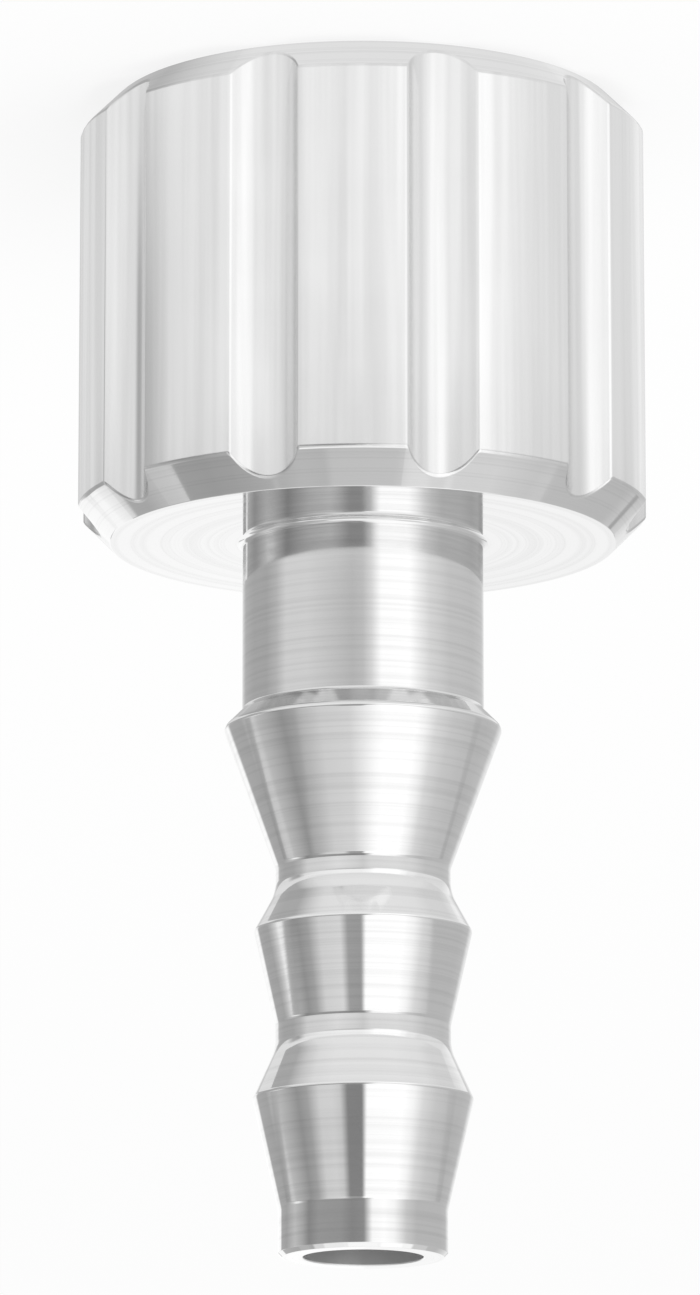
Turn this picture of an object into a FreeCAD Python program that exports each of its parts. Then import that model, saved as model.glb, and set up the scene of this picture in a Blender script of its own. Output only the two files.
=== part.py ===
import FreeCAD, Part
import math
import os

# Hose barb fitting, turned from one bar and plated.
# It stands on the open rim of its head: the rim lies in the plane z = 0, the barb points up (+Z).
# Sizes are in millimetres.

# Head
head_diameter = 14.0
head_length = 11.0
head_chamfer = 0.8

# Grip flutes around the head
flute_count = 10
flute_radius = 1.0
flute_depth = 0.55
flute_edge_radius = 0.12

# Neck between the head and the first barb
neck_diameter = 5.9
neck_length = 4.2
neck_root_radius = 0.15

# First barb, next to the neck
first_rim_diameter = 6.8
first_shoulder_length = 0.45
first_taper_length = 3.45

# Second barb
second_rim_diameter = 5.3
second_shoulder_length = 0.95
second_taper_length = 2.3

# Third barb, at the hose end
third_rim_diameter = 5.35
third_shoulder_length = 1.2
third_taper_length = 2.7

# Straight lengths between the barbs and at the tip
root_diameter = 4.25
root_length = 0.6
tip_diameter = 4.1
tip_length = 1.15
tip_chamfer = 0.1
rim_edge_radius = 0.15

# Flow passage right through
bore_diameter = 2.9

# Threaded socket in the head, G 1/8 parallel pipe thread
thread_major_diameter = 9.728
thread_minor_diameter = 8.566
thread_length = 7.2
mouth_chamfer = 0.35
drill_run_out = 1.0
drill_point_angle = 118.0

# Modelling aids: how far a cut or a joined solid runs past a face, and how closely an edge is matched
overrun = 1.0
match = 0.001


def polar(radius, angle):
    return FreeCAD.Vector(radius * math.cos(angle), radius * math.sin(angle), 0)


def arcThrough(first, middle, last):
    return Part.Arc(first, middle, last).toShape()


# Corner of the head section where a flute meets the outside, rounded by a small arc
def fluteCorner():
    headRadius = head_diameter / 2
    fluteCentre = headRadius - flute_depth + flute_radius
    roundCentre = headRadius - flute_edge_radius
    reach = flute_radius + flute_edge_radius
    cosine = (roundCentre ** 2 + fluteCentre ** 2 - reach ** 2) / (2 * roundCentre * fluteCentre)
    return fluteCentre, roundCentre, math.acos(cosine)


# One flute with its two rounded corners, centred on the given angle
def fluteEdges(angle):
    headRadius = head_diameter / 2
    fluteCentre, roundCentre, halfAngle = fluteCorner()
    centre = polar(fluteCentre, angle)
    edges = []
    touches = []
    for side in (-1, 1):
        corner = polar(roundCentre, angle + side * halfAngle)
        outer = polar(headRadius, angle + side * halfAngle)
        toFlute = (centre - corner).normalize()
        inner = corner + toFlute * flute_edge_radius
        outward = (toFlute + (outer - corner).normalize()).normalize()
        middle = corner + outward * flute_edge_radius
        if side < 0:
            edges.append(arcThrough(outer, middle, inner))
        else:
            edges.append(arcThrough(inner, middle, outer))
        touches.append((outer, inner))
    bottom = polar(fluteCentre - flute_radius, angle)
    edges.insert(1, arcThrough(touches[0][1], bottom, touches[1][1]))
    return edges


# Cross-section of the head: round lands with flutes between them
def headSection():
    step = 2 * math.pi / flute_count
    halfAngle = fluteCorner()[2]
    edges = []
    for index in range(flute_count):
        angle = index * step
        start = polar(head_diameter / 2, angle + halfAngle)
        middle = polar(head_diameter / 2, angle + step / 2)
        end = polar(head_diameter / 2, angle + step - halfAngle)
        edges.extend(fluteEdges(angle))
        edges.append(arcThrough(start, middle, end))
    return Part.Face(Part.Wire(edges))


# Solid of revolution from a closed outline of (radius, height) points
def turned(outline):
    corners = [FreeCAD.Vector(radius, 0, height) for radius, height in outline]
    face = Part.Face(Part.makePolygon(corners + corners[:1]))
    return face.revolve(FreeCAD.Vector(0, 0, 0), FreeCAD.Vector(0, 0, 1), 360)


def head():
    radius = head_diameter / 2
    blank = turned([
        (0, 0),
        (radius - head_chamfer, 0),
        (radius, head_chamfer),
        (radius, head_length - head_chamfer),
        (radius - head_chamfer, head_length),
        (0, head_length),
    ])
    fluted = headSection().extrude(FreeCAD.Vector(0, 0, head_length))
    return fluted.common(blank)


# Heights of the rims above the flat face of the head
def rimHeights():
    first = neck_length + first_shoulder_length
    second = first + first_taper_length + root_length + second_shoulder_length
    third = second + second_taper_length + root_length + third_shoulder_length
    return first, second, third


def stemOutline():
    first, second, third = rimHeights()
    neck = neck_diameter / 2
    root = root_diameter / 2
    tip = tip_diameter / 2
    firstEnd = first + first_taper_length
    secondEnd = second + second_taper_length
    thirdEnd = third + third_taper_length
    end = thirdEnd + tip_length
    return [
        (0, -overrun),
        (neck, -overrun),
        (neck, neck_length),
        (first_rim_diameter / 2, first),
        (root, firstEnd),
        (root, firstEnd + root_length),
        (second_rim_diameter / 2, second),
        (root, secondEnd),
        (root, secondEnd + root_length),
        (third_rim_diameter / 2, third),
        (tip, thirdEnd),
        (tip, end - tip_chamfer),
        (tip - tip_chamfer, end),
        (0, end),
    ]


# The circular edge of a solid that has the given radius and height
def ringEdge(solid, radius, height):
    for edge in solid.Edges:
        curve = edge.Curve
        if isinstance(curve, Part.Circle) and abs(curve.Center.z - height) < match:
            if abs(curve.Radius - radius) < match:
                return edge


def stem():
    solid = turned(stemOutline())
    diameters = (first_rim_diameter, second_rim_diameter, third_rim_diameter)
    rims = [ringEdge(solid, width / 2, height) for width, height in zip(diameters, rimHeights())]
    solid = solid.makeFillet(rim_edge_radius, rims)
    return solid.translated(FreeCAD.Vector(0, 0, head_length))


# Hollow inside: countersunk mouth, thread wall, tap drill and its point, then the bore to the tip
def passage():
    major = thread_major_diameter / 2
    minor = thread_minor_diameter / 2
    bore = bore_diameter / 2
    drillEnd = thread_length + drill_run_out
    point = (minor - bore) / math.tan(math.radians(drill_point_angle / 2))
    top = head_length + rimHeights()[2] + third_taper_length + tip_length + overrun
    return turned([
        (0, -overrun),
        (major + mouth_chamfer + overrun, -overrun),
        (major, mouth_chamfer),
        (major, thread_length),
        (minor, thread_length),
        (minor, drillEnd),
        (bore, drillEnd + point),
        (bore, top),
        (0, top),
    ])


def fitting():
    body = head().fuse(stem()).removeSplitter()
    neckRoot = ringEdge(body, neck_diameter / 2, head_length)
    body = body.makeFillet(neck_root_radius, [neckRoot])
    return body.cut(passage()).Solids[0]


os.makedirs("parts", exist_ok=True)
body = fitting()
body.exportStep("parts/fitting_body.step")
print("fitting_body", body.isValid(), round(body.Volume, 1), "mm3", body.BoundBox)
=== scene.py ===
import math

import bmesh
import bpy
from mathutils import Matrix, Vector


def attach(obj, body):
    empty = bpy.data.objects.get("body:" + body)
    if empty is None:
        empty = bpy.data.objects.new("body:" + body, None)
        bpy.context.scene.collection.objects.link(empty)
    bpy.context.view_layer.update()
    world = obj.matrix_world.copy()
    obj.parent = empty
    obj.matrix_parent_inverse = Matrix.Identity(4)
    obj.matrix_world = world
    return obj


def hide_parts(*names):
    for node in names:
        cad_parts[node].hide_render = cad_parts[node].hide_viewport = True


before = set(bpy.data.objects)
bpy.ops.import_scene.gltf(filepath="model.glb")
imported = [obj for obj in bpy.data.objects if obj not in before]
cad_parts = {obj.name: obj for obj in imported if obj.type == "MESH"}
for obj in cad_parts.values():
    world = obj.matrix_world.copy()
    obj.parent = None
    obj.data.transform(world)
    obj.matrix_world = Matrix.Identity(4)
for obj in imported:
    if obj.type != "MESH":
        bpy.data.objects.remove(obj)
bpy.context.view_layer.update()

# A hose barb fitting turned from one drawn, fluted brass bar and plated with bright nickel.
# It stands on the open rim of its head with the barbed stem upwards, and the camera is upside down,
# as in the photograph. Pieces are modelled in millimetres and scaled to metres when they are finished.
node = "fitting_body"
surfaces = ("turned", "drawn", "inside")    # the body's surfaces, in the order of its materials
perMetre = 1000                             # millimetres

making = {
    "match": 0.001,                         # how near a vertex counts as being at a place
    "merge": 0.0005,                        # how near two vertices are made one
    "clear": 0.01,                          # how far past a wall its faces are looked for
    "upright": 0.5,                         # a face's normal rises less than this where it is a side
    "ringStart": -0.001,                    # the angle, in radians, from which a ring is counted round
    "smoothAngle": 40,                      # an edge that turns further, in degrees, stays sharp
}
body = {
    "headDiameter": 14.0,
    "headLength": 11.0,
    "headChamfer": 0.8,
    "headChamferRound": 0.05,
    "neckDiameter": 5.9,
    "neckLength": 4.2,
    "neckRootRound": 0.15,
    "rimDiameters": (6.8, 5.3, 5.35),       # the barb by the neck first
    "rimRound": 0.15,
    "shoulderLengths": (0.45, 0.95, 1.2),
    "shoulderRounds": (0.12, 1.0, 1.0),     # where each shoulder rises, soft at the waists
    "taperLengths": (3.45, 2.3, 2.7),
    "taperEndRounds": (0.35, 0.35, 0.5),
    "rootDiameter": 4.25,
    "rootLength": 0.6,
    "tipDiameter": 4.1,
    "tipLength": 1.15,
    "tipChamfer": 0.1,
    "boreDiameter": 2.9,
    "smallRound": 0.04,                     # breaks on the smallest edges
    "roundSteps": 5,                        # faces across each round
}
flutes = {
    "count": 10,
    "radius": 1.0,
    "depth": 0.55,
    "edgeRound": 0.12,
    "halfSteps": 7,                         # steps along half a flute
    "edgeSteps": 5,                         # along each of its rounded edges
    "landSteps": 5,                         # along each land
    "runOutBevel": 0.06,                    # where lands and flutes run out into the chamfers
    "runOutSteps": 3,
    "runOutFrom": 0.1,                      # how far out from the chamfer's inner edge such edges start
    "runOutRise": 0.3,                      # and how far they rise at most
}
socket = {
    "majorDiameter": 9.728,                 # G 1/8 parallel pipe thread
    "minorDiameter": 8.566,
    "pitch": 0.907,
    "flankAngle": 27.5,                     # degrees
    "crestRound": 0.125,
    "crestSteps": 5,
    "threadLength": 7.2,
    "mouthChamfer": 0.35,
    "drillRunOut": 1.0,
    "drillPoint": 118.0,                    # degrees
    "margin": 0.45,                         # from the ridge's middle to the mouth and to the end
    "ridgeDepth": 0.08,                     # how far the ridge reaches into the wall
    "fadeDepth": 0.02,                      # how far into the wall its crest sinks at the ends
    "fadeTurns": 0.5,                       # length of each thin end
    "stepsPerTurn": 96,
}


# Make a piece the one that object operators act on
def choose(piece):
    bpy.ops.object.select_all(action="DESELECT")
    piece.select_set(True)
    bpy.context.view_layer.objects.active = piece


# One vertex at the origin, in edit mode
def addSeed(name):
    bpy.ops.object.select_all(action="DESELECT")
    bpy.ops.mesh.primitive_plane_add(size=1)
    piece = bpy.context.object
    piece.name = name
    piece.data.name = name
    bpy.ops.object.mode_set(mode="EDIT")
    bpy.ops.mesh.select_mode(type="VERT")
    bpy.ops.mesh.select_all(action="SELECT")
    bpy.ops.mesh.merge(type="CENTER")
    return piece


def leaveEdit():
    bpy.ops.object.mode_set(mode="OBJECT")


# Select the verts, edges or faces that pass a test, and count them
def pick(piece, parts, test):
    bpy.ops.mesh.select_mode(type={"verts": "VERT", "edges": "EDGE", "faces": "FACE"}[parts])
    bpy.ops.mesh.select_all(action="DESELECT")
    mesh = bmesh.from_edit_mesh(piece.data)
    mesh.normal_update()
    count = 0
    for part in getattr(mesh, parts):
        if test(part):
            part.select = True
            count += 1
    mesh.select_flush_mode()
    bmesh.update_edit_mesh(piece.data)
    return count


# Draw a line of points with extrude, and make a face of it if it is to be closed
def drawLine(name, points, closed):
    piece = addSeed(name)
    last = Vector((0, 0, 0))
    for index, point in enumerate(points):
        step = {"value": Vector(point) - last}
        if index == 0:
            bpy.ops.transform.translate(**step)
        else:
            bpy.ops.mesh.extrude_region_move(TRANSFORM_OT_translate=step)
        last = Vector(point)
    if closed:
        pick(piece, "verts", lambda vert: len(vert.link_edges) == 1)
        bpy.ops.mesh.edge_face_add()
    return piece


def applyModifier(piece, kind, **settings):
    choose(piece)
    modifier = piece.modifiers.new(kind.title(), kind)
    for key, value in settings.items():
        setattr(modifier, key, value)
    bpy.ops.object.modifier_apply(modifier=modifier.name)


def mergeDoubles():
    bpy.ops.mesh.select_all(action="SELECT")
    bpy.ops.mesh.remove_doubles(threshold=making["merge"])


def cleanShell():
    mergeDoubles()
    bpy.ops.mesh.normals_make_consistent(inside=False)


# Smooth a finished piece, let the faces beside each rounding set the normals, and scale it to metres.
# The scale comes last, because areas in square metres are too small for Weighted Normal
def finishPiece(piece):
    choose(piece)
    bpy.ops.object.shade_smooth_by_angle(angle=math.radians(making["smoothAngle"]))
    applyModifier(piece, "WEIGHTED_NORMAL", keep_sharp=True, use_face_influence=True)
    piece.scale = (1 / perMetre, 1 / perMetre, 1 / perMetre)
    bpy.ops.object.transform_apply(location=False, rotation=False, scale=True)


# How far a vertex is from the middle
def across(vert):
    return math.hypot(vert.co.x, vert.co.y)


# Points along an arc, without its first one
def arc(centre, radius, start, end, steps):
    points = []
    for step in range(1, steps + 1):
        angle = start + (end - start) * step / steps
        points.append(Vector((math.cos(angle), math.sin(angle), 0)) * radius + centre)
    return points


# Cross-section of the fluted bar: one tenth of it is drawn, from flute to flute, and spun round
def drawSection():
    outside = body["headDiameter"] / 2
    edge = flutes["edgeRound"]
    step = 2 * math.pi / flutes["count"]
    farOut = outside - flutes["depth"] + flutes["radius"]
    cornerOut = outside - edge
    reach = flutes["radius"] + edge
    swing = math.acos((cornerOut ** 2 + farOut ** 2 - reach ** 2) / (2 * cornerOut * farOut))
    fluteCentre = Vector((farOut, 0, 0))
    edgeCentre = Vector((math.cos(swing), math.sin(swing), 0)) * cornerOut
    nextEdge = Vector((math.cos(step - swing), math.sin(step - swing), 0)) * cornerOut
    nextFlute = Vector((math.cos(step), math.sin(step), 0)) * farOut
    lean = math.atan2(edgeCentre.y, edgeCentre.x - farOut)
    origin = Vector((0, 0, 0))
    points = [fluteCentre - Vector((flutes["radius"], 0, 0))]
    points += arc(fluteCentre, flutes["radius"], math.pi, lean, flutes["halfSteps"])
    points += arc(edgeCentre, edge, lean - math.pi, swing, flutes["edgeSteps"])
    points += arc(origin, outside, swing, step - swing, flutes["landSteps"])
    points += arc(nextEdge, edge, step - swing, step - lean + math.pi, flutes["edgeSteps"])
    points += arc(nextFlute, flutes["radius"], step - lean, step - math.pi, flutes["halfSteps"])
    piece = drawLine("fittingBody", points, False)
    bpy.ops.mesh.select_all(action="SELECT")
    bpy.ops.mesh.spin(
        dupli=True, steps=flutes["count"], angle=2 * math.pi, center=(0, 0, 0), axis=(0, 0, 1)
    )
    mergeDoubles()
    return piece


# Radius and height of the head's top edge, inside its chamfer
def headEdge():
    return body["headDiameter"] / 2 - body["headChamfer"], body["headLength"]


# The turned outline from the top edge of the head, up the stem, back down the bore and out of the
# socket, as radius, height and rounding
def turnedCorners():
    inner, flat = headEdge()
    neck = body["neckDiameter"] / 2
    root = body["rootDiameter"] / 2
    tip = body["tipDiameter"] / 2
    bore = body["boreDiameter"] / 2
    small = body["smallRound"]
    major = socket["majorDiameter"] / 2
    minor = socket["minorDiameter"] / 2
    mouth = socket["mouthChamfer"]
    thread = socket["threadLength"]
    drill = thread + socket["drillRunOut"]
    point = (minor - bore) / math.tan(math.radians(socket["drillPoint"] / 2))
    corners = [(inner, flat, body["headChamferRound"]), (neck, flat, body["neckRootRound"])]
    height = flat + body["neckLength"]
    before = neck
    for index, after in enumerate((root, root, tip)):
        shoulder = body["shoulderLengths"][index]
        taper = body["taperLengths"][index]
        corners.append((before, height, body["shoulderRounds"][index]))
        corners.append((body["rimDiameters"][index] / 2, height + shoulder, body["rimRound"]))
        corners.append((after, height + shoulder + taper, body["taperEndRounds"][index]))
        height += shoulder + taper + body["rootLength"]
        before = root
    end = height - body["rootLength"] + body["tipLength"]
    corners += [
        (tip, end - body["tipChamfer"], small / 2),
        (tip - body["tipChamfer"], end, small / 2),
        (bore, end, small),
        (bore, drill + point, small),
        (minor, drill, small),
        (minor, thread, small),
        (major, thread, 0),
        (major, mouth, small),
        (major + mouth, 0, small),
    ]
    return corners


# Pull the section up into the head, cut its ends to the chamfers' cones, and extrude each end in along
# its cone to the chamfer's inner edge
def pullHead(piece):
    inner, flat = headEdge()
    bpy.ops.mesh.select_all(action="SELECT")
    bpy.ops.mesh.extrude_region_move(TRANSFORM_OT_translate={"value": (0, 0, flat)})
    for vert in bmesh.from_edit_mesh(piece.data).verts:
        cut = across(vert) - inner
        vert.co.z = flat - cut if vert.select else cut
    pick(piece, "edges", lambda edge: edge.is_boundary)
    bpy.ops.mesh.extrude_region_move()
    for vert in bmesh.from_edit_mesh(piece.data).verts:
        if vert.select:
            height = flat if vert.co.z > flat / 2 else 0
            vert.co *= inner / across(vert)
            vert.co.z = height


# Space the selected ring's vertices evenly, so that the turned surfaces after it are evenly round
def spreadRing(piece):
    ring = [vert for vert in bmesh.from_edit_mesh(piece.data).verts if vert.select]
    begin = making["ringStart"]
    ring.sort(key=lambda vert: (math.atan2(vert.co.y, vert.co.x) - begin) % (2 * math.pi))
    for index, vert in enumerate(ring):
        angle = 2 * math.pi * index / len(ring)
        out = across(vert)
        vert.co.x = out * math.cos(angle)
        vert.co.y = out * math.sin(angle)


# Extrude, move and scale the head's top ring from corner to corner of the turned outline, and bridge
# its last place to the head's lower ring
def turnStem(piece, corners):
    flat = body["headLength"]
    pick(piece, "edges", lambda edge: edge.is_boundary and edge.verts[0].co.z > flat / 2)
    for last, corner in zip(corners, corners[1:]):
        grown = corner[0] / last[0]
        bpy.ops.mesh.extrude_region_move(TRANSFORM_OT_translate={"value": (0, 0, corner[1] - last[1])})
        bpy.ops.transform.resize(value=(grown, grown, 1), center_override=(0, 0, 0))
        if last is corners[0]:
            spreadRing(piece)
    pick(piece, "edges", lambda edge: edge.is_boundary)
    bpy.ops.mesh.bridge_edge_loops()
    cleanShell()


# Bevel the edges on the chamfers' cones where lands and flutes run out
def bevelRunOuts(piece):
    inner, flat = headEdge()

    def isRunOut(edge):
        low, high = sorted(vert.co.z for vert in edge.verts)
        cuts = [across(vert) - inner for vert in edge.verts]
        offCone = [
            min(abs(vert.co.z - cut), abs(flat - vert.co.z - cut)) for vert, cut in zip(edge.verts, cuts)
        ]
        isOut = min(cuts) > flutes["runOutFrom"] and high - low < flutes["runOutRise"]
        return isOut and max(offCone) < making["match"]

    print("edges where the flutes run out:", pick(piece, "edges", isRunOut))
    bpy.ops.mesh.bevel(
        offset=flutes["runOutBevel"], segments=flutes["runOutSteps"], clamp_overlap=False,
        face_strength_mode="AFFECTED",
    )


# Round the corners of the outline. It starts and ends at the outer edges of the head's two chamfers,
# which only give the directions there
def roundCorners(piece, corners):
    inner, flat = headEdge()
    outside = body["headDiameter"] / 2
    chamfer = body["headChamfer"]
    outline = [
        (outside, flat - chamfer, 0),
        *corners,
        (inner, 0, body["headChamferRound"]),
        (outside, chamfer, 0),
    ]
    for before, corner, after in zip(outline, outline[1:], outline[2:]):
        radius, height, rounding = corner
        if rounding == 0:
            continue
        here = Vector((radius, height))
        half = (Vector(before[:2]) - here).angle(Vector(after[:2]) - here) / 2

        def isCorner(edge):
            gaps = [max(abs(across(vert) - radius), abs(vert.co.z - height)) for vert in edge.verts]
            return max(gaps) < making["match"]

        pick(piece, "edges", isCorner)
        bpy.ops.mesh.bevel(
            offset=rounding / math.tan(half), segments=body["roundSteps"], clamp_overlap=False,
            face_strength_mode="AFFECTED",
        )


# Bore and socket are inside, the head's lands and flutes are drawn, and the rest is turned
def sortSurfaces(piece):
    inner, flat = headEdge()
    bore = body["boreDiameter"] / 2 + making["clear"]
    wall = socket["majorDiameter"] / 2 + making["clear"]
    for face in piece.data.polygons:
        out = math.hypot(face.center.x, face.center.y)
        if out < bore or (out < wall and face.center.z < flat - making["clear"]):
            face.material_index = surfaces.index("inside")
        elif out > inner and abs(face.normal.z) < making["upright"]:
            face.material_index = surfaces.index("drawn")


def makeBody():
    piece = drawSection()
    corners = turnedCorners()
    pullHead(piece)
    turnStem(piece, corners)
    bevelRunOuts(piece)
    roundCorners(piece, corners)
    cleanShell()
    leaveEdit()
    sortSurfaces(piece)
    return piece


# Thin the ridge out at both ends, where its crest sinks into the wall
def thinEnds(ridge, start, turns):
    wall = socket["majorDiameter"] / 2
    sunk = wall + socket["fadeDepth"]
    for vert in ridge.data.vertices:
        around = math.atan2(vert.co.y, vert.co.x) / (2 * math.pi)
        turn = around + round((vert.co.z - start) / socket["pitch"] - around)
        fade = min(turn, turns - turn) / socket["fadeTurns"]
        fade = max(0, min(1, fade))
        fade = fade * fade * (3 - 2 * fade)     # eased at both ends
        out = across(vert)
        if out < wall:
            grown = (sunk - (sunk - out) * fade) / out
            vert.co.x *= grown
            vert.co.y *= grown


# The thread's ridge in the socket: its profile is drawn once and carried round by Screw
def makeThread():
    wall = socket["majorDiameter"] / 2
    deep = wall + socket["ridgeDepth"]
    crest = socket["minorDiameter"] / 2
    flank = math.radians(socket["flankAngle"])
    rounding = socket["crestRound"]
    start = socket["mouthChamfer"] + socket["margin"]
    turns = (socket["threadLength"] - socket["margin"] - start) / socket["pitch"]
    apex = crest + rounding - rounding / math.sin(flank)
    half = (wall - apex) * math.tan(flank)
    outline = [(deep, 0, start - half), (wall, 0, start - half)]
    for index in range(socket["crestSteps"] + 1):
        lean = (math.pi / 2 - flank) * (2 * index / socket["crestSteps"] - 1)
        out = crest + rounding - rounding * math.cos(lean)
        outline.append((out, 0, start + rounding * math.sin(lean)))
    outline += [(wall, 0, start + half), (deep, 0, start + half)]
    ridge = drawLine("socketThread", outline, True)
    leaveEdit()
    steps = round(socket["stepsPerTurn"] * turns)
    applyModifier(
        ridge, "SCREW", angle=2 * math.pi * turns, screw_offset=socket["pitch"] * turns,
        steps=steps, render_steps=steps, use_merge_vertices=False,
    )
    bpy.ops.object.mode_set(mode="EDIT")
    bpy.ops.mesh.select_all(action="SELECT")
    bpy.ops.mesh.fill_holes(sides=0)
    cleanShell()
    leaveEdit()
    thinEnds(ridge, start, turns)
    return ridge


# A hex colour as linear red, green, blue and alpha
def toLinear(colour):
    values = []
    for place in (1, 3, 5):
        value = int(colour[place:place + 2], 16) / 255
        values.append(value / 12.92 if value <= 0.04045 else ((value + 0.055) / 1.055) ** 2.4)
    return (*values, 1)


# Add a node with its inputs, values or links, and its settings. An input goes by its name or number,
# and in a colour Mix, 6 and 7 are the two colours
def addNode(tree, kind, inputs, **settings):
    made = tree.nodes.new(kind)
    for key, value in settings.items():
        setattr(made, key, value)
    for key, value in inputs.items():
        if isinstance(value, bpy.types.NodeSocket):
            tree.links.new(value, made.inputs[key])
        else:
            made.inputs[key].default_value = value
    return made


def newMaterial(name):
    material = bpy.data.materials.new(name)
    material.use_nodes = True
    material.node_tree.nodes.clear()
    return material, material.node_tree


# Noise scale for marks of a size in mm: the broadest lumps are twice that size, the finer ones smaller
def noiseScale(size):
    return perMetre / size / 2


nickel = {
    "turnedGrooveShadeColours": ("#E1E1E1", "#EBEBEB"),    # painted shade in the tool's grooves, and the plating between them
    "turnedRoughness": (0.04, 0.09),
    "toolMark": 0.07,                       # size of the turning marks in mm
    "toolMarkDepth": 0.0002,                # in mm
    "peel": 0.9,                            # size of the plating's slight waviness in mm
    "peelDepth": 0.003,
    # painted shade in the drawing lines, and the plating between them
    "drawnLineShadeColours": ("#E2E2E2", "#EBEBEB"),
    "drawnRoughness": (0.11, 0.20),
    "drawLine": 0.22,                       # size of the drawing lines in mm, coarser than real ones
    "drawLineDepth": 0.0006,
    "drawAlong": 0.02,                      # the noise's scale along the bar, small for long lines
    "smudge": 2.6,                          # size of the marks left by handling in mm
    "smudgeRoughness": 0.05,
    "insideColours": ("#BDBDBD", "#D0D0D0"),
    "insideRoughness": (0.3, 0.45),
    "insideMetallic": 0.78,                 # the rest is the dull film on thin plating
    "blotch": 0.7,                          # size of the thin plating's patches in mm
}


# Bright nickel plating over turned brass: mirror-like, with faint rings left by the lathe tool, their
# grooves darkened in colour as painted shade
def makeTurnedNickel():
    material, tree = newMaterial("nickelPlateTurned")
    dark, light = [toLinear(colour) for colour in nickel["turnedGrooveShadeColours"]]
    smooth, rough = nickel["turnedRoughness"]
    place = addNode(tree, "ShaderNodeTexCoord", {}).outputs["Object"]
    axes = addNode(tree, "ShaderNodeSeparateXYZ", {0: place})
    flat = addNode(tree, "ShaderNodeVectorMath", {0: place, 1: (1, 1, 0)}, operation="MULTIPLY")
    out = addNode(tree, "ShaderNodeVectorMath", {0: flat.outputs[0]}, operation="LENGTH")
    ring = addNode(tree, "ShaderNodeCombineXYZ", {0: out.outputs["Value"], 2: axes.outputs[2]})
    marks = addNode(
        tree, "ShaderNodeTexNoise",
        {"Vector": ring.outputs[0], "Scale": noiseScale(nickel["toolMark"]), "Detail": 2,
         "Roughness": 0.6},
    )
    waves = addNode(
        tree, "ShaderNodeTexNoise", {"Vector": place, "Scale": noiseScale(nickel["peel"]), "Detail": 1}
    )
    shade = addNode(
        tree, "ShaderNodeMapRange", {"Value": marks.outputs[0], "From Min": 0.35, "From Max": 0.55}
    )
    # Painted shade: the colour is darker in the tool's grooves
    colour = addNode(
        tree, "ShaderNodeMix", {0: shade.outputs[0], 6: dark, 7: light}, data_type="RGBA"
    )
    gloss = addNode(
        tree, "ShaderNodeMapRange",
        {"Value": marks.outputs[0], "From Min": 0.3, "From Max": 0.7, "To Min": rough, "To Max": smooth},
    )
    wavy = addNode(
        tree, "ShaderNodeBump",
        {"Height": waves.outputs[0], "Distance": nickel["peelDepth"] / perMetre, "Strength": 1},
    )
    bump = addNode(
        tree, "ShaderNodeBump",
        {"Height": marks.outputs[0], "Distance": nickel["toolMarkDepth"] / perMetre, "Strength": 1,
         "Normal": wavy.outputs[0]},
    )
    shader = addNode(
        tree, "ShaderNodeBsdfPrincipled",
        {"Base Color": colour.outputs[2], "Metallic": 1, "Roughness": gloss.outputs[0],
         "Normal": bump.outputs[0]},
    )
    addNode(tree, "ShaderNodeOutputMaterial", {"Surface": shader.outputs[0]})
    return material


# The same plating over the drawn bar's flutes and lands: satin, with fine lines along the bar, darkened
# in colour as painted shade, and the faint smudges of handling
def makeDrawnNickel():
    material, tree = newMaterial("nickelPlateDrawn")
    dark, light = [toLinear(colour) for colour in nickel["drawnLineShadeColours"]]
    smooth, rough = nickel["drawnRoughness"]
    place = addNode(tree, "ShaderNodeTexCoord", {}).outputs["Object"]
    stretched = addNode(
        tree, "ShaderNodeMapping", {"Vector": place, "Scale": (1, 1, nickel["drawAlong"])}
    )
    lines = addNode(
        tree, "ShaderNodeTexNoise",
        {"Vector": stretched.outputs[0], "Scale": noiseScale(nickel["drawLine"]), "Detail": 2,
         "Roughness": 0.55},
    )
    smudges = addNode(
        tree, "ShaderNodeTexNoise",
        {"Vector": place, "Scale": noiseScale(nickel["smudge"]), "Detail": 3, "Roughness": 0.6},
    )
    shade = addNode(
        tree, "ShaderNodeMapRange", {"Value": lines.outputs[0], "From Min": 0.35, "From Max": 0.6}
    )
    # Painted shade: the colour is darker in the drawing lines
    colour = addNode(
        tree, "ShaderNodeMix", {0: shade.outputs[0], 6: dark, 7: light}, data_type="RGBA"
    )
    lined = addNode(
        tree, "ShaderNodeMapRange",
        {"Value": lines.outputs[0], "From Min": 0.3, "From Max": 0.7, "To Min": rough, "To Max": smooth},
    )
    smudged = addNode(
        tree, "ShaderNodeMapRange",
        {"Value": smudges.outputs[0], "From Min": 0.45, "From Max": 0.65,
         "To Max": nickel["smudgeRoughness"]},
    )
    gloss = addNode(
        tree, "ShaderNodeMath", {0: lined.outputs[0], 1: smudged.outputs[0]}, operation="ADD"
    )
    bump = addNode(
        tree, "ShaderNodeBump",
        {"Height": lines.outputs[0], "Distance": nickel["drawLineDepth"] / perMetre, "Strength": 1},
    )
    shader = addNode(
        tree, "ShaderNodeBsdfPrincipled",
        {"Base Color": colour.outputs[2], "Metallic": 1, "Roughness": gloss.outputs[0],
         "Normal": bump.outputs[0]},
    )
    addNode(tree, "ShaderNodeOutputMaterial", {"Surface": shader.outputs[0]})
    return material


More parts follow.
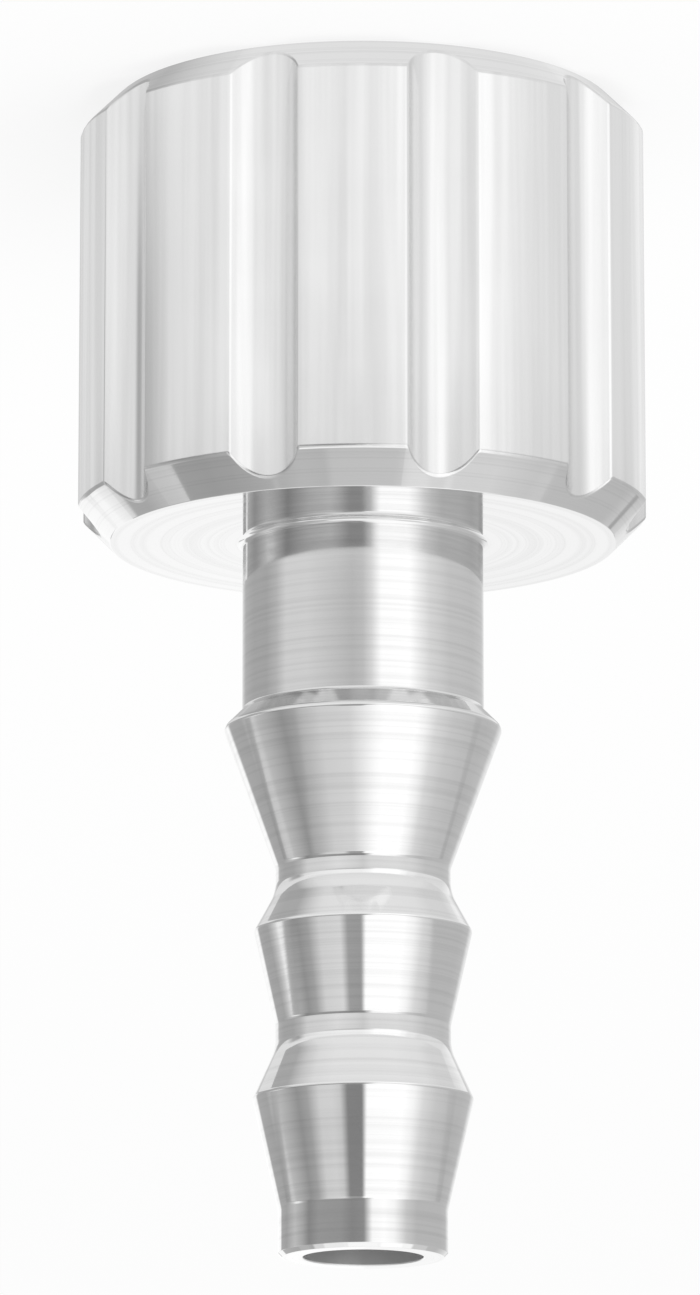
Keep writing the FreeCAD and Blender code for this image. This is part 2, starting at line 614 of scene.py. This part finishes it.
# Inside the bore and socket the plating is thin, patchy and dull
def makeInsideNickel():
    material, tree = newMaterial("nickelPlateInside")
    dark, light = [toLinear(colour) for colour in nickel["insideColours"]]
    smooth, rough = nickel["insideRoughness"]
    place = addNode(tree, "ShaderNodeTexCoord", {}).outputs["Object"]
    blotches = addNode(
        tree, "ShaderNodeTexNoise", {"Vector": place, "Scale": noiseScale(nickel["blotch"]), "Detail": 4}
    )
    shade = addNode(
        tree, "ShaderNodeMapRange", {"Value": blotches.outputs[0], "From Min": 0.35, "From Max": 0.65}
    )
    colour = addNode(
        tree, "ShaderNodeMix", {0: shade.outputs[0], 6: dark, 7: light}, data_type="RGBA"
    )
    gloss = addNode(
        tree, "ShaderNodeMapRange",
        {"Value": blotches.outputs[0], "From Min": 0.3, "From Max": 0.7, "To Min": rough,
         "To Max": smooth},
    )
    shader = addNode(
        tree, "ShaderNodeBsdfPrincipled",
        {"Base Color": colour.outputs[2], "Metallic": nickel["insideMetallic"],
         "Roughness": gloss.outputs[0]},
    )
    addNode(tree, "ShaderNodeOutputMaterial", {"Surface": shader.outputs[0]})
    return material


print("modelling the body")
fitting = makeBody()
finishPiece(fitting)
print("modelling the thread")
thread = makeThread()
finishPiece(thread)

print("making the materials")
turnedNickel = makeTurnedNickel()
drawnNickel = makeDrawnNickel()
insideNickel = makeInsideNickel()
for plating in (turnedNickel, drawnNickel, insideNickel):
    fitting.data.materials.append(plating)
thread.data.materials.append(insideNickel)
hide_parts(node)
for piece in (fitting, thread):
    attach(piece, "root")


# The studio, in metres: a pale floor, soft even air, one soft lamp, and a light tent that only
# reflections see
studio = {
    "floorColour": "#F5F5F5",
    "floorSize": 6.0,
    "floorWhite": 0.8,                      # how far the floor turns plain white where it is looked at
    "airStrength": 0.85,
    "keyDirection": (30, 55),               # degrees to the picture's right, and above the floor
    "keyDistance": 0.5,
    "keySize": 0.3,
    "keyPower": 0.8,                        # watts
}
# Brightness round the tent, by degrees to the picture's right of the camera, which stands at 0.
# The tent reaches below the floor, which reflections look through, so that upright faces mirror its
# wall. The lists from headBack to roofFront are stretches that several of its bands share
headBack = ((-168, 0.55), (-156, 0.82), (-120, 0.86))
headFront = (
    (-60, 0.97), (-26, 1.04), (-3, 1.03), (8, 1.11), (15, 1.22), (50, 1.24), (53, 1.15), (58, 1.13),
    (62, 1.01), (72, 0.98), (79, 0.88), (130, 0.84), (152, 1.0), (168, 0.55),
)
darkSide = (
    (-126, 0.45), (-118, 0.58), (-111, 0.68), (-105, 0.68), (-100, 0.57), (-88, 0.47), (-74, 0.34),
)
tipFront = (
    (-78, 0.28), (-62, 0.36), (-30, 0.34), (-15, 0.27), (1, 0.3), (12, 1.15), (28, 1.22), (42, 1.12),
    (60, 0.7), (77, 0.56), (126, 0.55), (146, 0.58), (158, 0.85), (172, 1.0),
)
greySide = ((84, 0.67), (104, 0.6), (140, 0.56), (156, 0.8))
barbFront = ((44, 1.24), (56, 1.1), (68, 0.82), *greySide, (170, 1.03))
roofFront = ((-48, 0.56), (-40, 1.05), (40, 1.05), (50, 0.78))
tent = {
    "radius": 0.11,
    "sides": 96,
    "low": -0.04,                           # edges of its wall, from the floor
    "high": 0.12,
    "peak": 1.6,                            # the most that a stop may have
    # Bands of the wall, each with the heights between which it takes over. The first does so below the
    # wall's lower edge. It is seen in the head by its open rim, and the next in the rest of the head
    "walls": (
        (-0.042, -0.041, (*headBack, (-110, 0.86), (-98, 0.88), (-84, 0.98), *headFront)),
        (-0.029, -0.023, (*headBack, (-108, 0.48), (-96, 0.42), (-84, 0.84), *headFront)),
        (-0.0138, -0.0132, (                # seen in the neck
            (-172, 0.9), (-150, 0.5), (-126, 0.44), (-104, 0.44), (-90, 0.54), (-78, 0.74), (-54, 0.74),
            (-34, 0.66), (-10, 0.55), (0, 0.6), (8, 0.8), (17, 1.2), (44, 1.24), (55, 1.0), (66, 0.8),
            (90, 0.64), (126, 0.6), (154, 0.64), (172, 0.9),
        )),
        (-0.006, -0.004, (                  # seen in the roots between the barbs
            (-152, 1.0), (-144, 0.5), (-126, 0.44), (-104, 0.44), (-90, 0.54), (-78, 0.74), (-54, 0.78),
            (-34, 0.86), (-10, 0.78), (0, 0.72), (10, 0.82), (44, 0.86), (55, 0.82), (66, 0.8),
            (90, 0.64), (126, 0.6), (148, 0.62), (160, 0.85), (172, 0.9),
        )),
        (0.008, 0.011, (                    # seen in the tip
            (-149, 1.1), (-144, 0.46), (-126, 0.42), (-105, 0.6), (-90, 0.46), *tipFront,
        )),
        (0.0215, 0.0245, (                  # seen in the left side of the middle barb
            (-149, 1.1), (-144, 0.46), (-121, 0.43), (-114, 0.54), (-107, 0.74), (-102, 1.0),
            (-96, 0.98), (-88, 0.54), *tipFront,
        )),
        (0.034, 0.0355, (                   # seen in the neck's foot, through the flat face
            (-170, 1.06), (-166, 0.5), (-160, 0.36), (-151, 0.36), (-149, 1.04), (-146, 1.04),
            (-144, 0.5), (-126, 0.34), (-105, 0.5), (-88, 0.42), (-76, 0.27), (-62, 0.42), (-53, 0.52),
            (-31, 0.64), (-21, 0.5), (-12, 0.33), (-1, 0.33), (7, 0.55), (16, 1.42), (44, 1.44),
            (52, 1.2), (60, 0.88), (68, 0.7), (80, 0.56), (104, 0.55), (126, 0.47), (142, 0.5),
            (151, 0.38), (160, 0.38), (165, 0.5), (170, 1.03),
        )),
        (0.0385, 0.0400, (                  # seen in the flat face and the middle barb
            (-142, 1.1), *darkSide, (-62, 0.42), (-48, 0.74), (-25, 0.8), (-17, 0.4), (-2, 0.38),
            (3, 1.22), *barbFront,
        )),
        (0.0545, 0.0560, (                  # seen in the barb by the tip
            (-142, 1.1), *darkSide, (-62, 0.42), (-48, 0.72), (-34, 0.75), (-25, 0.68), (-17, 0.26),
            (-1, 0.25), (4, 1.2), *barbFront,
        )),
        (0.063, 0.066, (                    # highest, seen in the barb by the neck
            (-168, 1.0), (-150, 0.5), *darkSide[:-1], (-80, 0.37), (-56, 0.54), (-38, 0.72), (-12, 0.78),
            (0, 0.96), (12, 1.16), (20, 1.24), (48, 1.24), (58, 1.08), (70, 0.82), *greySide, (170, 1.0),
        )),
    ),
    # Bands of the roof and the bottom, each with the distances from the middle between which it takes
    # over. The first is in place all over
    "roof": (
        (-0.002, -0.001, ((0, 1.12),)),     # seen in the tip's end
        # further out, seen in the head's chamfer to the front, and in the first shoulder to the sides
        (0.022, 0.027, (
            (-66, 0.98), (-58, 0.56), (-43, 0.56), (-34, 0.54), (-28, 0.62), (24, 0.63), (32, 0.74),
            (42, 0.84), (57, 0.86), (65, 1.22),
        )),
        (0.043, 0.045, ((-76, 1.0), (-66, 0.5), *roofFront, (65, 0.78), (75, 1.2))),
        (0.050, 0.053, ((-97, 0.8), (-89, 0.4), (-66, 0.5), *roofFront, (87, 0.76), (98, 1.1))),
        (0.067, 0.072, (
            (-118, 0.52), (-109, 0.4), (-97, 0.38), (-66, 0.5), *roofFront, (88, 0.76), (104, 0.66),
            (112, 0.7),
        )),
    ),
    "bottom": (
        (-0.002, -0.001, ((0, 0.88),)),
        (0.02, 0.045, (
            (-180, 0.6), (-126, 0.46), (-105, 0.46), (-88, 0.68), (-70, 0.84), (-45, 0.9), (50, 0.92),
            (88, 0.87), (106, 0.78), (130, 0.76), (152, 0.93), (180, 0.6),
        )),
    ),
}
# The photograph's camera, in metres
view = {
    "target": (0, 0, 0.0138),
    "distance": 0.1955,
    "elevation": 12.1,                      # degrees above the floor
    "azimuth": -2.0,                        # degrees round from the front, towards +x
    "frameHeight": 0.03164,                 # what the picture's height takes in at the target
    "aimRight": 0.000318,                   # how far past the target it aims, before it is turned over
    "aimUp": -0.000208,
    "sensor": 36,                           # mm along the picture's height
    "clipStart": 0.01,
    "clipEnd": 20,
}


# 1 for the rays that look at the floor or the air, straight or by way of metal or glass, and 0 for the
# light that they give
def lookingRays(tree):
    ray = addNode(tree, "ShaderNodeLightPath", {})
    seen = addNode(
        tree, "ShaderNodeMath",
        {0: ray.outputs["Is Camera Ray"], 1: ray.outputs["Is Glossy Ray"]}, operation="MAXIMUM",
    )
    through = addNode(
        tree, "ShaderNodeMath",
        {0: seen.outputs[0], 1: ray.outputs["Is Transmission Ray"]}, operation="MAXIMUM",
    )
    return through.outputs[0]


# White paper: matt and pale, and nearly plain white where it is looked at, so that it keeps no more
# than a faint shadow
def makeFloor():
    bpy.ops.object.select_all(action="DESELECT")
    bpy.ops.mesh.primitive_plane_add(size=studio["floorSize"])
    floor = bpy.context.object
    floor.name = "studioFloor"
    material, tree = newMaterial("whitePaper")
    share = addNode(
        tree, "ShaderNodeMath", {0: lookingRays(tree), 1: studio["floorWhite"]}, operation="MULTIPLY"
    )
    paper = addNode(tree, "ShaderNodeBsdfDiffuse", {"Color": toLinear(studio["floorColour"])})
    white = addNode(tree, "ShaderNodeEmission", {"Color": (1, 1, 1, 1), "Strength": 1})
    mixed = addNode(
        tree, "ShaderNodeMixShader",
        {0: share.outputs[0], 1: paper.outputs[0], 2: white.outputs[0]},
    )
    addNode(tree, "ShaderNodeOutputMaterial", {"Surface": mixed.outputs[0]})
    floor.data.materials.append(material)
    # In the metal, the tent's lower wall and bottom stand in for it
    floor.visible_glossy = False
    return floor


# Where a place on the tent is: how far round it, with 0 and 1 behind the object and 0.5 at the camera,
# how far from the middle, and how high
def tentPlace(tree):
    place = addNode(tree, "ShaderNodeTexCoord", {}).outputs["Object"]
    turned = addNode(
        tree, "ShaderNodeMapping",
        {"Vector": place, "Rotation": (0, 0, math.radians(90 - view["azimuth"]))},
    )
    axes = addNode(tree, "ShaderNodeSeparateXYZ", {0: turned.outputs[0]})
    angle = addNode(
        tree, "ShaderNodeMath", {0: axes.outputs[1], 1: axes.outputs[0]}, operation="ARCTAN2"
    )
    around = addNode(
        tree, "ShaderNodeMapRange",
        {"Value": angle.outputs[0], "From Min": math.pi, "From Max": -math.pi, "To Min": 0, "To Max": 1},
    )
    flat = addNode(tree, "ShaderNodeVectorMath", {0: place, 1: (1, 1, 0)}, operation="MULTIPLY")
    out = addNode(tree, "ShaderNodeVectorMath", {0: flat.outputs[0]}, operation="LENGTH")
    return around.outputs[0], out.outputs["Value"], axes.outputs[2]


# Glowing cloth for one part of the tent, which no lamp lights: its grey and white are painted
# reflections for the plating to mirror. Each band takes over from the one before it, by height or by
# distance from the middle
def hangGlowingCloth(piece, name, bands, byHeight):
    piece.name = name
    material, tree = newMaterial(name + "Cloth")
    around, out, height = tentPlace(tree)
    colour = (0, 0, 0, 1)
    for low, high, stops in bands:
        ramp = addNode(tree, "ShaderNodeValToRGB", {0: around})
        elements = ramp.color_ramp.elements
        elements.remove(elements[-1])
        for index, (degrees, bright) in enumerate(stops):
            place = 0.5 + degrees / 360
            stop = elements[0] if index == 0 else elements.new(place)
            stop.position = place
            share = bright / tent["peak"]
            stop.color = (share, share, share, 1)
        step = addNode(
            tree, "ShaderNodeMapRange",
            {"Value": height if byHeight else out, "From Min": low, "From Max": high},
        )
        mixed = addNode(
            tree, "ShaderNodeMix", {0: step.outputs[0], 6: colour, 7: ramp.outputs[0]}, data_type="RGBA"
        )
        colour = mixed.outputs[2]
    # The tent glows with its painted reflections
    glowingCloth = addNode(tree, "ShaderNodeEmission", {"Color": colour, "Strength": tent["peak"]})
    addNode(tree, "ShaderNodeOutputMaterial", {"Surface": glowingCloth.outputs[0]})
    piece.data.materials.append(material)
    # Only reflections see it
    piece.visible_camera = False
    piece.visible_diffuse = False
    piece.visible_shadow = False
    piece.visible_transmission = False
    return piece


def makeTentWall():
    bpy.ops.object.select_all(action="DESELECT")
    bpy.ops.mesh.primitive_cylinder_add(
        vertices=tent["sides"], radius=tent["radius"], depth=tent["high"] - tent["low"],
        end_fill_type="NOTHING", location=(0, 0, (tent["high"] + tent["low"]) / 2),
    )
    bpy.ops.object.transform_apply(location=True)
    return hangGlowingCloth(bpy.context.object, "tentWall", tent["walls"], True)


def makeTentEnd(name, height, bands):
    bpy.ops.object.select_all(action="DESELECT")
    bpy.ops.mesh.primitive_circle_add(
        vertices=tent["sides"], radius=tent["radius"], fill_type="NGON", location=(0, 0, height)
    )
    return hangGlowingCloth(bpy.context.object, name, bands, False)


# Direction from the object, by degrees to the picture's right of the camera and degrees above the floor
def fromCamera(degrees, up):
    turn = math.radians(view["azimuth"] - degrees)
    rise = math.radians(up)
    return Vector((math.sin(turn) * math.cos(rise), -math.cos(turn) * math.cos(rise), math.sin(rise)))


# One soft square lamp, which the metal doesn't mirror
def makeLamp():
    direction = fromCamera(*studio["keyDirection"])
    bpy.ops.object.light_add(type="AREA", location=direction * studio["keyDistance"])
    lamp = bpy.context.object
    lamp.name = "keyLamp"
    lamp.data.shape = "SQUARE"
    lamp.data.size = studio["keySize"]
    lamp.data.energy = studio["keyPower"]
    lamp.rotation_euler = (-direction).to_track_quat("-Z", "Y").to_euler()
    lamp.visible_glossy = False


# Even white air, which is full white where it is looked at
def makeWorld():
    world = bpy.data.worlds.new("studioAir")
    bpy.context.scene.world = world
    world.use_nodes = True
    tree = world.node_tree
    tree.nodes.clear()
    strength = addNode(
        tree, "ShaderNodeMapRange",
        {"Value": lookingRays(tree), "To Min": studio["airStrength"], "To Max": 1},
    )
    air = addNode(tree, "ShaderNodeBackground", {"Color": (1, 1, 1, 1), "Strength": strength.outputs[0]})
    addNode(tree, "ShaderNodeOutputWorld", {"Surface": air.outputs[0]})


# The camera looks at the object as in the photograph, and is turned over
def makeCamera():
    target = Vector(view["target"])
    direction = fromCamera(0, view["elevation"])
    right = Vector((0, 0, 1)).cross(direction).normalized()
    up = direction.cross(right)
    place = target + direction * view["distance"]
    aim = target + right * view["aimRight"] + up * view["aimUp"]
    bpy.ops.object.camera_add(location=place)
    camera = bpy.context.object
    camera.name = "photoCamera"
    camera.rotation_euler = (aim - place).to_track_quat("-Z", "Y").to_matrix().to_euler()
    camera.rotation_euler.rotate_axis("Z", math.pi)
    camera.data.sensor_fit = "AUTO"
    camera.data.sensor_width = view["sensor"]
    camera.data.lens = view["sensor"] * view["distance"] / view["frameHeight"]
    camera.data.clip_start = view["clipStart"]
    camera.data.clip_end = view["clipEnd"]
    bpy.context.scene.camera = camera


print("setting up the studio")
makeFloor()
makeTentWall()
makeTentEnd("tentRoof", tent["high"], tent["roof"])
makeTentEnd("tentBottom", tent["low"], tent["bottom"])
makeLamp()
makeWorld()
makeCamera()
bpy.context.scene.view_settings.view_transform = "Standard"
